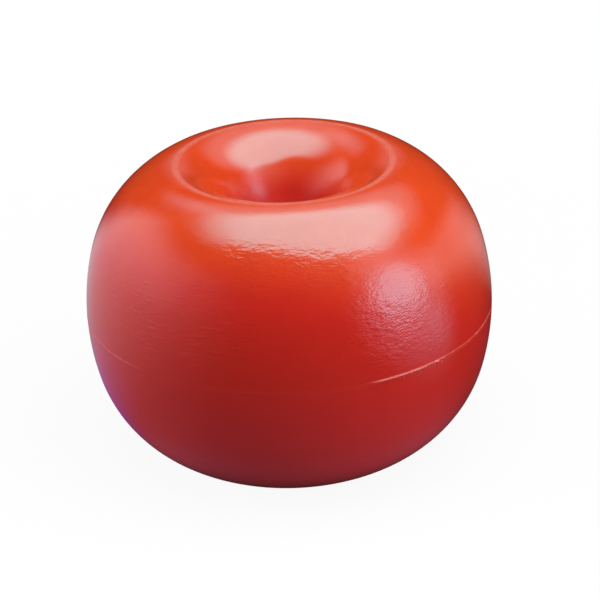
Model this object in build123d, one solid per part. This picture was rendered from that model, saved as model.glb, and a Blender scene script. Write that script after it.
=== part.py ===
from build123d import *

import os
from math import asin, cos, degrees, radians, sin, sqrt

# Marker buoy: a hollow ring float of two like half shells, butt-welded at the parting plane.
# Millimetres. +Z is up along the bore, and the origin is the centre of the standing rim.

# Outside of the float
FLOAT_DIAMETER = 200.0    # across the parting line, without the weld bead
FLOAT_HEIGHT = 148.0      # from the standing rim to the upper rim
RIM_DIAMETER = 107.0      # outer edge of the flat rim round each dish
RIM_WIDTH = 2.0           # flat width of that rim
SIDE_ANGLE = 15.0         # degrees above the parting plane where the flat side arc ends
SHOULDER_ANGLE = 60.0     # degrees where the shoulder arc ends and the crown arc begins
CROWN_ANGLE = 83.0        # degrees where the crown arc meets the flat rim
SHOULDER_RATIO = 1.4      # radius of the shoulder arc over the reach from the side to the rim

# Dish and bore
DISH_SLOPE = 14.0         # degrees that the dish falls just inside the rim
DISH_EDGE_RADIUS = 3.0    # rounding between the rim and the dish
THROAT_DIAMETER = 60.0    # where the dish arc gives way to the flatter throat arc
THROAT_SLOPE = 52.0       # degrees that the wall falls there
BORE_DIAMETER = 34.0      # rope bore

# Walls and weld lands of each half
WALL = 3.5
LAND_WIDTH = 7.0          # radial width of the two flat faces that are welded
LAND_HEIGHT = 5.0         # straight height of a land before it tapers into the wall

# V-grooves between the halves and the beads that fill them
GROOVE_DEPTH = 1.2
GROOVE_HALF_WIDTH = 0.8
BEAD_RISE = 0.4           # the outer bead stands proud, the bore bead is flush

# Radii and heights that follow from them, heights counted from the parting plane
FLOAT_RADIUS = FLOAT_DIAMETER / 2
HALF_HEIGHT = FLOAT_HEIGHT / 2
RIM_RADIUS = RIM_DIAMETER / 2
DISH_EDGE = RIM_RADIUS - RIM_WIDTH
THROAT_RADIUS = THROAT_DIAMETER / 2
BORE_RADIUS = BORE_DIAMETER / 2
TAPER_TOP = LAND_HEIGHT + LAND_WIDTH - WALL

# Side arc, upright at the parting plane, shoulder arc and crown arc, which ends at the rim, all tangent
SIDE_SIN = sin(radians(SIDE_ANGLE))
SIDE_COS = cos(radians(SIDE_ANGLE))
SHOULDER_SIN = sin(radians(SHOULDER_ANGLE))
SHOULDER_COS = cos(radians(SHOULDER_ANGLE))
CROWN_SIN = sin(radians(CROWN_ANGLE))
CROWN_COS = cos(radians(CROWN_ANGLE))
CROWN_REACH = FLOAT_RADIUS - RIM_RADIUS
SHOULDER_RADIUS = SHOULDER_RATIO * CROWN_REACH
REACH_LEFT = CROWN_REACH - SHOULDER_RADIUS * (SIDE_COS - SHOULDER_COS)
HEIGHT_LEFT = HALF_HEIGHT - SHOULDER_RADIUS * (SHOULDER_SIN - SIDE_SIN)
CROWN_DEPTH = SHOULDER_COS - CROWN_COS
CROWN_RISE = CROWN_SIN - SHOULDER_SIN
ARC_FACTOR = CROWN_DEPTH * SIDE_SIN - (1 - SIDE_COS) * CROWN_RISE
SIDE_RADIUS = (CROWN_DEPTH * HEIGHT_LEFT - CROWN_RISE * REACH_LEFT) / ARC_FACTOR
CROWN_RADIUS = (SIDE_SIN * REACH_LEFT - (1 - SIDE_COS) * HEIGHT_LEFT) / ARC_FACTOR
SIDE_CENTRE = (FLOAT_RADIUS - SIDE_RADIUS, 0)
SHOULDER_CENTRE = (
    SIDE_CENTRE[0] + (SIDE_RADIUS - SHOULDER_RADIUS) * SIDE_COS,
    (SIDE_RADIUS - SHOULDER_RADIUS) * SIDE_SIN,
)
CROWN_CENTRE = (RIM_RADIUS - CROWN_RADIUS * CROWN_COS, HALF_HEIGHT - CROWN_RADIUS * CROWN_SIN)

# Dish arc from the rim to the throat, and the throat arc, tangent to it and upright at the bore
DISH_SIN = sin(radians(DISH_SLOPE))
DISH_COS = cos(radians(DISH_SLOPE))
THROAT_SIN = sin(radians(THROAT_SLOPE))
THROAT_COS = cos(radians(THROAT_SLOPE))
DISH_RADIUS = (DISH_EDGE - THROAT_RADIUS) / (THROAT_SIN - DISH_SIN)
THROAT_ARC_RADIUS = (THROAT_RADIUS - BORE_RADIUS) / (1 - THROAT_SIN)
DISH_CENTRE = (DISH_EDGE + DISH_RADIUS * DISH_SIN, HALF_HEIGHT - DISH_RADIUS * DISH_COS)
BORE_TOP = DISH_CENTRE[1] + (DISH_RADIUS - THROAT_ARC_RADIUS) * THROAT_COS
THROAT_CENTRE = (BORE_RADIUS + THROAT_ARC_RADIUS, BORE_TOP)


def on_arc(centre, radius, height):
    """Angle in degrees of the outer point of an arc at a given height."""
    return degrees(asin((height - centre[1]) / radius))


def arc(centre, radius, start, end):
    """Arc about a centre between two angles in degrees."""
    return CenterArc(centre, radius, start, end - start)


def ring(section):
    """Solid of revolution about +Z from a section drawn as (radius, height)."""
    return revolve(Plane.XZ * section, Axis.Z)


def half_section():
    """Section of the upper half shell, with one wall all round and a land at each weld."""
    lip = on_arc(SIDE_CENTRE, SIDE_RADIUS, GROOVE_HALF_WIDTH)
    outer = [
        arc(SIDE_CENTRE, SIDE_RADIUS, lip, SIDE_ANGLE),
        arc(SHOULDER_CENTRE, SHOULDER_RADIUS, SIDE_ANGLE, SHOULDER_ANGLE),
        arc(CROWN_CENTRE, CROWN_RADIUS, SHOULDER_ANGLE, CROWN_ANGLE),
    ]
    dish = [
        arc(DISH_CENTRE, DISH_RADIUS, 90 + DISH_SLOPE, 90 + THROAT_SLOPE),
        arc(THROAT_CENTRE, THROAT_ARC_RADIUS, 90 + THROAT_SLOPE, 180),
    ]
    ceiling = HALF_HEIGHT - WALL
    inner_dish = [
        arc(THROAT_CENTRE, THROAT_ARC_RADIUS - WALL, 180, 90 + THROAT_SLOPE),
        arc(
            DISH_CENTRE,
            DISH_RADIUS - WALL,
            90 + THROAT_SLOPE,
            180 - on_arc(DISH_CENTRE, DISH_RADIUS - WALL, ceiling),
        ),
    ]
    inner = [
        arc(CROWN_CENTRE, CROWN_RADIUS - WALL, CROWN_ANGLE, SHOULDER_ANGLE),
        arc(SHOULDER_CENTRE, SHOULDER_RADIUS - WALL, SHOULDER_ANGLE, SIDE_ANGLE),
        arc(
            SIDE_CENTRE,
            SIDE_RADIUS - WALL,
            SIDE_ANGLE,
            on_arc(SIDE_CENTRE, SIDE_RADIUS - WALL, TAPER_TOP),
        ),
    ]
    rim = Line(outer[-1] @ 1, dish[0] @ 0)
    bore = Polyline(
        dish[1] @ 1,
        (BORE_RADIUS, GROOVE_HALF_WIDTH),
        (BORE_RADIUS + GROOVE_DEPTH, 0),
        (BORE_RADIUS + LAND_WIDTH, 0),
        (BORE_RADIUS + LAND_WIDTH, LAND_HEIGHT),
        (BORE_RADIUS + WALL, TAPER_TOP),
        inner_dish[0] @ 0,
    )
    under_rim = Line(inner_dish[1] @ 1, inner[0] @ 0)
    seam = Polyline(
        inner[-1] @ 1,
        (FLOAT_RADIUS - LAND_WIDTH, LAND_HEIGHT),
        (FLOAT_RADIUS - LAND_WIDTH, 0),
        (FLOAT_RADIUS - GROOVE_DEPTH, 0),
        outer[0] @ 0,
    )
    section = make_face(outer + [rim] + dish + [bore] + inner_dish + [under_rim] + inner + [seam])
    edge = section.vertices().sort_by_distance((DISH_EDGE, HALF_HEIGHT))[0]
    return fillet(edge, DISH_EDGE_RADIUS)


def seam_bead():
    """Weld bead in the outer groove, with a low rounded crown."""
    lip = SIDE_CENTRE[0] + sqrt(SIDE_RADIUS**2 - GROOVE_HALF_WIDTH**2)
    root = (FLOAT_RADIUS - GROOVE_DEPTH, 0)
    upper = (lip, GROOVE_HALF_WIDTH)
    lower = (lip, -GROOVE_HALF_WIDTH)
    crown = ThreePointArc(upper, (FLOAT_RADIUS + BEAD_RISE, 0), lower)
    return ring(make_face([crown, Polyline(lower, root, upper)]))


def bore_bead():
    """Weld bead in the bore groove, trimmed flush with the bore."""
    root = (BORE_RADIUS + GROOVE_DEPTH, 0)
    upper = (BORE_RADIUS, GROOVE_HALF_WIDTH)
    lower = (BORE_RADIUS, -GROOVE_HALF_WIDTH)
    return ring(make_face(Polyline(root, upper, lower, close=True)))


half_shell = ring(half_section())
parting = Pos(0, 0, HALF_HEIGHT)
nodes = {
    "upper_half_shell": parting * half_shell,
    "lower_half_shell": parting * Rot(180, 0, 0) * half_shell,
    "seam_weld_bead": parting * seam_bead(),
    "bore_weld_bead": parting * bore_bead(),
}

os.makedirs("parts", exist_ok=True)
for name, node in nodes.items():
    node.label = name
    export_step(node, f"parts/{name}.step")
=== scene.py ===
"""Marker buoy: two moulded float shells, their trimmed weld, and a small studio to show them in."""

import logging
import math
from dataclasses import dataclass, field
from enum import Enum
from typing import Any, Mapping, Optional, Sequence, Union

import bmesh
import bpy
from mathutils import Matrix, Vector


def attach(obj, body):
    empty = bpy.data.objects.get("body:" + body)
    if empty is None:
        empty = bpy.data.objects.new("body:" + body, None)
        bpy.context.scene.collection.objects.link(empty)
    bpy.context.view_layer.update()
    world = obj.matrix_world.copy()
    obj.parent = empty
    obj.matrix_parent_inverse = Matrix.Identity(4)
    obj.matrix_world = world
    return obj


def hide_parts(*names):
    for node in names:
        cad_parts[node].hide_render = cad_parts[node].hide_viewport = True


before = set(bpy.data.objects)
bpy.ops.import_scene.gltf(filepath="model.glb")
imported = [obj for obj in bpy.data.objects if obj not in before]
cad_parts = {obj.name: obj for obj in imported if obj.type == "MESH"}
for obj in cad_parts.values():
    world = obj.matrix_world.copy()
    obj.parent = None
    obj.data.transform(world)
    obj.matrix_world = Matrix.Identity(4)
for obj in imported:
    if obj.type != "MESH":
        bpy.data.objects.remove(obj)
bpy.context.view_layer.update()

LOG = logging.getLogger("marker_buoy")
MM = 0.001
PHOTO_SIDE = 600
ROOT_BODY = "root"
FULL_TURN = 2 * math.pi
DEGREES = 180 / math.pi
STRAIGHT_UP = 90.0
INWARD = 180.0
MERGE_DISTANCE = 2e-6
NOISE_ROUGHNESS = 0.55

Colour = tuple[float, float, float]
Point = tuple[float, float]
Band = tuple[float, float]
Place = tuple[float, float, float]
Number = Union["Signal", float, int]

BLACK: Colour = (0.0, 0.0, 0.0)
WHITE: Colour = (1.0, 1.0, 1.0)


class Slot(Enum):
    """Material slots of the record."""

    FLOAT = "float_shell"
    WELD = "weld_bead"


class Half(Enum):
    """The two like half shells, by the side of the parting plane that they are on."""

    UPPER = 1
    LOWER = -1

    @property
    def node(self) -> str:
        """Name of the CAD node of this half."""
        return f"{self.name.lower()}_half_shell"


class Pattern(Enum):
    """Noise patterns: the fixed place of each on the noise's fourth axis, and its octaves."""

    COARSE_PEEL = (1.3, 2.0)
    FINE_PEEL = (7.7, 1.0)
    PEEL_COVER = (2.9, 2.0)
    SCUFF = (5.1, 2.0)
    RIM_RUB = (12.4, 3.0)
    SUN_DRIFT = (3.6, 3.0)
    CLOUD = (6.8, 4.0)
    MOTTLE = (4.2, 3.0)
    WELD_GRAIN = (2.2, 3.0)
    WELD_TEAR = (9.1, 3.0)
    RAGGED_EDGE = (8.0, 3.0)
    SLOW_RISE = (10.0, 2.0)
    SEAM_SWAY = (12.0, 2.0)


class CrumbDraw(Enum):
    """Random draws for each crumb, by what they add to the seed of the seam."""

    TURN = 1
    DROP = 2
    LENGTH = 3
    WIDTH = 4
    THICKNESS = 5


class Signal:
    """One output socket of a node tree, for use in Python expressions."""

    def __init__(self, graph: "Graph", socket: Optional[bpy.types.NodeSocket]) -> None:
        """Keep the tree and the socket."""
        self.graph = graph
        self.socket = socket

    def sibling(self, output: str) -> "Signal":
        """Another output of the node that this one belongs to."""
        return Signal(self.graph, self.graph.pick(self.socket.node.outputs, output))

    def __add__(self, other: Number) -> "Signal":
        """Sum."""
        return self.graph.math("ADD", self, other)

    def __radd__(self, other: Number) -> "Signal":
        """Sum with a number on the left."""
        return self.graph.math("ADD", other, self)

    def __sub__(self, other: Number) -> "Signal":
        """Difference."""
        return self.graph.math("SUBTRACT", self, other)

    def __rsub__(self, other: Number) -> "Signal":
        """Difference from a number on the left."""
        return self.graph.math("SUBTRACT", other, self)

    def __mul__(self, other: Number) -> "Signal":
        """Product."""
        return self.graph.math("MULTIPLY", self, other)

    def __rmul__(self, other: Number) -> "Signal":
        """Product with a number on the left."""
        return self.graph.math("MULTIPLY", other, self)

    def __truediv__(self, other: Number) -> "Signal":
        """Quotient."""
        return self.graph.math("DIVIDE", self, other)

    def __rtruediv__(self, other: Number) -> "Signal":
        """Quotient of a number on the left."""
        return self.graph.math("DIVIDE", other, self)

    def __mod__(self, other: Number) -> "Signal":
        """Remainder."""
        return self.graph.math("MODULO", self, other)

    def __neg__(self) -> "Signal":
        """Opposite."""
        return self.graph.math("MULTIPLY", self, -1.0)

    def __abs__(self) -> "Signal":
        """Size without sign."""
        return self.graph.math("ABSOLUTE", self)

    def rise(self, low: float, high: float, start: float = 0.0, end: float = 1.0) -> "Signal":
        """Smooth step of this value.

        Args:
            low: Value at which the step begins.
            high: Value at which it ends.
            start: Result up to the beginning.
            end: Result past the end.

        Returns:
            The stepped value.
        """
        return self.graph.node(
            "ShaderNodeMapRange",
            {"interpolation_type": "SMOOTHSTEP"},
            {"Value": self, "From Min": low, "From Max": high, "To Min": start, "To Max": end},
        )

    def fall(self, low: float, high: float) -> "Signal":
        """Smooth step from one at the low value down to zero at the high value."""
        return self.rise(low, high, 1.0, 0.0)

    def between(self, ends: Band, eases: Band) -> "Signal":
        """One between two ends and zero outside them, with soft edges.

        Args:
            ends: Low and high end.
            eases: How far each edge reaches to both sides of its end.

        Returns:
            Weight from zero to one.
        """
        low, high = ends
        low_ease, high_ease = eases
        return self.rise(low - low_ease, low + low_ease) * self.fall(high - high_ease, high + high_ease)


class Graph:
    """A shader or geometry node tree that is filled from Python expressions."""

    def __init__(self, tree: bpy.types.NodeTree) -> None:
        """Keep the tree."""
        self.tree = tree

    @staticmethod
    def pick(sockets: Sequence[bpy.types.NodeSocket], key: Union[str, int]) -> bpy.types.NodeSocket:
        """Find a socket by its place or its name, taking the enabled one where names repeat.

        Args:
            sockets: A node's inputs or outputs.
            key: Place or name.

        Returns:
            The socket.
        """
        if isinstance(key, int):
            return sockets[key]
        named = [socket for socket in sockets if socket.name == key]
        return next((socket for socket in named if socket.enabled), named[0])

    def node(
        self,
        kind: str,
        settings: Optional[Mapping[str, Any]] = None,
        sockets: Optional[Mapping[Union[str, int], Any]] = None,
        output: Union[str, int, None] = None,
    ) -> Signal:
        """Add any node, with its settings first and then its sockets.

        Args:
            kind: Node type.
            settings: Attributes of the node.
            sockets: Values or signals of its inputs.
            output: Output to return; the first enabled one if not named.

        Returns:
            The output as a signal.
        """
        made = self.tree.nodes.new(kind)
        for name, value in (settings or {}).items():
            setattr(made, name, value)
        for key, value in (sockets or {}).items():
            target = self.pick(made.inputs, key)
            if isinstance(value, Signal):
                self.tree.links.new(value.socket, target)
            else:
                target.default_value = value
        if not made.outputs:
            return Signal(self, None)
        if output is None:
            return Signal(self, next(socket for socket in made.outputs if socket.enabled))
        return Signal(self, self.pick(made.outputs, output))

    def math(self, operation: str, *terms: Number) -> Signal:
        """One Math node on values.

        Args:
            operation: Its operation.
            terms: One to three numbers or signals.

        Returns:
            The result.
        """
        return self.node("ShaderNodeMath", {"operation": operation}, dict(enumerate(terms)))

    def vector(self, operation: str, *terms: Any, output: str = "Vector") -> Signal:
        """One Vector Math node.

        Args:
            operation: Its operation.
            terms: Vectors, or signals of vectors.
            output: Output to return.

        Returns:
            The result.
        """
        settings = {"operation": operation}
        return self.node("ShaderNodeVectorMath", settings, dict(enumerate(terms)), output)

    def stretch(self, vector: Signal, scale: Sequence[float]) -> Signal:
        """A vector times a scale on each axis."""
        return self.vector("MULTIPLY", vector, scale)

    def join(self, x: Number, y: Number, z: Number) -> Signal:
        """A vector of three values."""
        return self.node("ShaderNodeCombineXYZ", {}, {"X": x, "Y": y, "Z": z})

    def split(self, vector: Signal) -> tuple[Signal, Signal, Signal]:
        """The three values of a vector."""
        x = self.node("ShaderNodeSeparateXYZ", {}, {"Vector": vector}, "X")
        return x, x.sibling("Y"), x.sibling("Z")

    def bearing(self, x: Signal, y: Signal) -> Signal:
        """Degrees round the axis from the front, to the right."""
        return self.math("ARCTAN2", x, -y) * DEGREES

    def reach(self, across: Signal, along: Signal) -> Signal:
        """Length of a step that goes so far across and so far along."""
        return self.math("SQRT", across * across + along * along)

    def attribute(self, name: str) -> Signal:
        """A weight that a shader reads from the mesh."""
        return self.node("ShaderNodeAttribute", {"attribute_name": name}, output="Fac")

    def noise(self, vector: Signal, cells: float, pattern: Pattern) -> Signal:
        """Fractal noise about one half.

        Args:
            vector: Where it is read.
            cells: Cells per metre of the vector.
            pattern: Which noise it is.

        Returns:
            The value.
        """
        place, octaves = pattern.value
        return self.node(
            "ShaderNodeTexNoise",
            {"noise_dimensions": "4D"},
            {
                "Vector": vector,
                "W": place,
                "Scale": cells,
                "Detail": octaves,
                "Roughness": NOISE_ROUGHNESS,
            },
        )

    def blend(self, factor: Number, first: Any, second: Any, mode: str = "MIX") -> Signal:
        """Mix two colours.

        Args:
            factor: Share of the second.
            first: Colour or signal.
            second: Colour or signal.
            mode: Blend mode.

        Returns:
            The mixed colour.
        """
        def whole(colour: Any) -> Any:
            """A plain colour with its alpha."""
            return colour if isinstance(colour, Signal) else (*colour, 1.0)

        return self.node(
            "ShaderNodeMix",
            {"data_type": "RGBA", "blend_type": mode, "clamp_factor": mode == "MIX"},
            {"Factor": factor, "A": whole(first), "B": whole(second)},
        )


def new_material(name: str) -> tuple[bpy.types.Material, Graph]:
    """Start an empty node material.

    Args:
        name: Its name.

    Returns:
        The material and the graph of its tree.
    """
    material = bpy.data.materials.new(name)
    material.use_nodes = True
    material.node_tree.nodes.clear()
    return material, Graph(material.node_tree)


def end_material(surface: Signal) -> None:
    """Send a shader to its material's output."""
    surface.graph.node("ShaderNodeOutputMaterial", {}, {"Surface": surface})


def object_coordinates(graph: Graph) -> Signal:
    """Coordinates in the piece's own space."""
    return graph.node("ShaderNodeTexCoord", output="Object")


def end_plastic(
    colour: Signal, roughness: Signal, refraction: float, relief: Signal, depth: float
) -> None:
    """Finish a plastic's material with its shader.

    Args:
        colour: Base colour.
        roughness: Roughness of the gloss.
        refraction: Index of refraction.
        relief: Fine relief, about zero to one.
        depth: Depth of the relief in metres.
    """
    graph = colour.graph
    bump = graph.node("ShaderNodeBump", {}, {"Strength": 1.0, "Distance": depth, "Height": relief})
    shader = graph.node(
        "ShaderNodeBsdfPrincipled",
        {},
        {"Base Color": colour, "Roughness": roughness, "IOR": refraction, "Normal": bump},
    )
    end_material(shader)


def linked(name: str, data: bpy.types.ID) -> bpy.types.Object:
    """Make an object and link it to the scene.

    Args:
        name: Its name.
        data: Its mesh, lamp or camera data.

    Returns:
        The object.
    """
    made = bpy.data.objects.new(name, data)
    bpy.context.scene.collection.objects.link(made)
    return made


def flat_panel(name: str, side: float, level: float, paint: bpy.types.Material) -> bpy.types.Object:
    """Lay a square panel of the studio, with its middle on the axis.

    Args:
        name: Its name.
        side: Length of its side.
        level: Its height.
        paint: Its material.

    Returns:
        The panel.
    """
    half = side / 2
    mesh = bpy.data.meshes.new(name)
    corners = [(-half, -half, level), (half, -half, level), (half, half, level), (-half, half, level)]
    mesh.from_pydata(corners, [], [(0, 1, 2, 3)])
    mesh.materials.append(paint)
    return linked(name, mesh)


@dataclass(frozen=True)
class RoughPatch:
    """Soft-edged patch of rougher skin, about a bearing in degrees and a height."""

    bearing: float
    height: float
    half_turn: float
    half_height: float
    depth: float
    edge: Band = (0.5, 1.2)

    def window(self, bearing: Signal, height: Signal) -> Signal:
        """Depth of this patch at a place.

        Args:
            bearing: Degrees from the front, to the right.
            height: Height over the floor.

        Returns:
            The depth, zero outside the patch.
        """
        across = (bearing - self.bearing) / self.half_turn
        along = (height - self.height) / self.half_height
        return bearing.graph.reach(across, along).rise(*self.edge, self.depth, 0.0)


@dataclass(frozen=True)
class MouldedPlastic:
    """Semi-gloss polyethylene of the float: mould texture, painted light on its lit faces, and handling
    wear with painted sheen on the rim.
    """

    name: str = "float_polyethylene"
    pigment: Colour = (0.68, 0.025, 0.0155)
    # painted light: the lighter, more orange tone of the faces that the lamps light
    faded: Colour = (0.75, 0.068, 0.0145)
    rubbed: Colour = (0.76, 0.130, 0.070)
    # rubbing wear with painted sheen: the paler ring on the rim
    deep: Colour = (0.66, 0.028, 0.015)
    scuffed: Colour = (0.78, 0.12, 0.09)
    refraction: float = 1.52
    gloss: float = 0.15
    throat_dull: float = 0.16
    mottle_cells: float = 55.0
    mottle_dull: float = 0.10
    peel_cells: float = 220.0
    peel_flatten: float = 2.1
    peel_height: float = 0.00028
    fine_ratio: float = 2.7
    fine_share: float = 0.45
    even_depth: float = 0.25
    cover_cells: float = 38.0
    cover_band: Band = (0.34, 0.66)
    cover_least: float = 0.55
    sky_smooth: float = 0.95
    scuff_cells: float = 130.0
    scuff_flatten: float = 7.5
    scuff_band: Band = (0.52, 0.76)
    scuff_height: float = 0.26
    scuff_dull: float = 0.08
    scuff_share: float = 0.12
    rub_cells: float = 240.0
    rub_band: Band = (0.30, 0.62)
    rub_least: float = 0.45
    nick_cells: float = 150.0
    nick_edge: Band = (0.05, 0.12)
    nick_chance: Band = (0.90, 0.92)
    nick_depth: float = 0.10
    nick_share: float = 0.3
    nick_dark: float = 0.7
    # where the painted light of the lit faces begins, and how much more the +X side takes
    fade_band: Band = (0.40, 0.84)
    sun_side: float = 4.4
    drift_cells: float = 18.0
    drift_fade: float = 0.25
    drift_height: float = 0.02
    deep_band: Band = (0.012, 0.066)
    cloud_cells: float = 90.0
    cloud_band: Band = (0.35, 0.65)
    cloud_share: float = 0.14
    cloud_dark: float = 0.82
    patches: tuple[RoughPatch, ...] = (
        RoughPatch(-2.0, 0.1295, 36.0, 0.0125, 0.62),
        RoughPatch(33.0, 0.100, 21.0, 0.025, 1.10),
        RoughPatch(-118.0, 0.112, 30.0, 0.020, 0.60),
        RoughPatch(148.0, 0.052, 36.0, 0.022, 0.60),
    )
    scuffs: tuple[RoughPatch, ...] = (
        RoughPatch(-38.0, 0.102, 36.0, 0.025, 1.0),
        RoughPatch(-128.0, 0.064, 30.0, 0.020, 0.6),
        RoughPatch(126.0, 0.096, 32.0, 0.022, 0.6),
    )

    def material(self) -> bpy.types.Material:
        """Build the material.

        Returns:
            The finished material.
        """
        material, graph = new_material(self.name)
        place = object_coordinates(graph)
        scuff = self.scuffing(place)
        nick = self.nicks(place)
        relief = self.peel(place) + self.scuff_height * scuff - self.nick_depth * nick
        mottle = graph.noise(place, self.mottle_cells, Pattern.MOTTLE)
        roughness = self.gloss + self.mottle_dull * (mottle - 0.5) + self.scuff_dull * scuff
        roughness = roughness + self.throat_dull * graph.attribute("throat")
        colour = self.colour(place, scuff, nick)
        end_plastic(colour, roughness, self.refraction, relief, self.peel_height)
        return material

    @staticmethod
    def patched(place: Signal, patches: Sequence[RoughPatch], even: float) -> Number:
        """Depth of some patches together.

        Args:
            place: Object coordinates.
            patches: The patches.
            even: Depth outside them.

        Returns:
            The summed depth.
        """
        x, y, height = place.graph.split(place)
        bearing = place.graph.bearing(x, y)
        depth: Number = even
        for patch in patches:
            depth = depth + patch.window(bearing, height)
        return depth

    def peel(self, place: Signal) -> Signal:
        """Level-lying wrinkles of the mould, stronger in some patches than in others.

        Args:
            place: Object coordinates.

        Returns:
            Height about zero to one.
        """
        graph = place.graph
        flat = graph.stretch(place, (1.0, 1.0, self.peel_flatten))
        coarse = graph.noise(flat, self.peel_cells, Pattern.COARSE_PEEL)
        fine = graph.noise(flat, self.fine_ratio * self.peel_cells, Pattern.FINE_PEEL)
        depth = self.patched(place, self.patches, self.even_depth)
        cover = graph.noise(place, self.cover_cells, Pattern.PEEL_COVER)
        cover = cover.rise(*self.cover_band, self.cover_least, 1.0)
        smooth = 1.0 - self.sky_smooth * graph.attribute("sky")
        return (coarse + self.fine_share * fine) * depth * cover * smooth

    def scuffing(self, place: Signal) -> Signal:
        """Thin level scuffs on some stretches of the side.

        Args:
            place: Object coordinates.

        Returns:
            Weight from zero to one.
        """
        flat = place.graph.stretch(place, (1.0, 1.0, self.scuff_flatten))
        line = place.graph.noise(flat, self.scuff_cells, Pattern.SCUFF).rise(*self.scuff_band)
        return line * self.patched(place, self.scuffs, 0.0)

    def rim_rub(self, place: Signal) -> Signal:
        """Weight of the rubbing and painted sheen along the rim, uneven along its run."""
        rub = place.graph.noise(place, self.rub_cells, Pattern.RIM_RUB)
        return place.graph.attribute("rim") * rub.rise(*self.rub_band, self.rub_least, 1.0)

    def nicks(self, place: Signal) -> Signal:
        """Sparse small nicks.

        Args:
            place: Object coordinates.

        Returns:
            Weight from zero to one.
        """
        graph = place.graph
        distance = graph.node(
            "ShaderNodeTexVoronoi",
            {"voronoi_dimensions": "3D", "feature": "F1"},
            {"Vector": place, "Scale": self.nick_cells, "Randomness": 1.0},
            "Distance",
        )
        chance = graph.node("ShaderNodeSeparateColor", {}, {"Color": distance.sibling("Color")}, "Red")
        return distance.fall(*self.nick_edge) * chance.rise(*self.nick_chance)

    def darker(self, share: float) -> Colour:
        """The pigment with a share of its brightness."""
        return tuple(share * part for part in self.pigment)

    def colour(self, place: Signal, scuff: Signal, nick: Signal) -> Signal:
        """Pigment with painted light on its lit faces, its mottling, the marks of wear and the rim's
        rubbing with painted sheen.

        Args:
            place: Object coordinates.
            scuff: Weight of the scuffs.
            nick: Weight of the nicks.

        Returns:
            Base colour.
        """
        graph = place.graph
        across, _, height = graph.split(place)
        drift = graph.noise(place, self.drift_cells, Pattern.SUN_DRIFT) - 0.5
        # painted light: faces that look up, the open dish and the +X side take a lighter, more orange
        # tone
        sunned = graph.attribute("upness") + self.drift_fade * drift
        sunned = sunned + self.sun_side * graph.math("MAXIMUM", across, 0.0)
        fade = graph.math("MAXIMUM", sunned.rise(*self.fade_band), graph.attribute("sky"))
        under = (height + self.drift_height * drift).fall(*self.deep_band)
        cloud = graph.noise(place, self.cloud_cells, Pattern.CLOUD).rise(*self.cloud_band)
        body = graph.blend(under, self.pigment, self.deep)
        body = graph.blend(fade, body, self.faded)
        body = graph.blend(self.cloud_share * cloud, body, self.darker(self.cloud_dark))
        body = graph.blend(self.scuff_share * scuff, body, self.scuffed)
        # rubbing wear with painted sheen: a paler ring along the rim
        body = graph.blend(self.rim_rub(place), body, self.rubbed)
        return graph.blend(self.nick_share * nick, body, self.darker(self.nick_dark))


@dataclass(frozen=True)
class TrimmedWeld:
    """Satin, slightly whitened plastic of a weld bead that was cut back by hand."""

    name: str = "weld_polyethylene"
    flush: Colour = (0.68, 0.027, 0.0165)
    cut: Colour = (0.69, 0.088, 0.060)
    torn: Colour = (0.76, 0.165, 0.120)
    refraction: float = 1.52
    flush_gloss: float = 0.24
    gloss: float = 0.40
    grain_cells: float = 900.0
    grain_height: float = 0.00008
    tear_cells: float = 160.0
    tear_band: Band = (0.42, 0.66)
    tear_dull: float = 0.2

    def material(self) -> bpy.types.Material:
        """Build the material.

        Returns:
            The finished material.
        """
        material, graph = new_material(self.name)
        place = object_coordinates(graph)
        grain = graph.noise(place, self.grain_cells, Pattern.WELD_GRAIN)
        tear = graph.noise(place, self.tear_cells, Pattern.WELD_TEAR).rise(*self.tear_band)
        standing = graph.attribute("standing")
        colour = graph.blend(standing, self.flush, graph.blend(tear, self.cut, self.torn))
        left_rough = self.gloss - self.flush_gloss + self.tear_dull * (tear - 0.5)
        roughness = self.flush_gloss + standing * left_rough
        end_plastic(colour, roughness, self.refraction, grain, self.grain_height)
        return material


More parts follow.
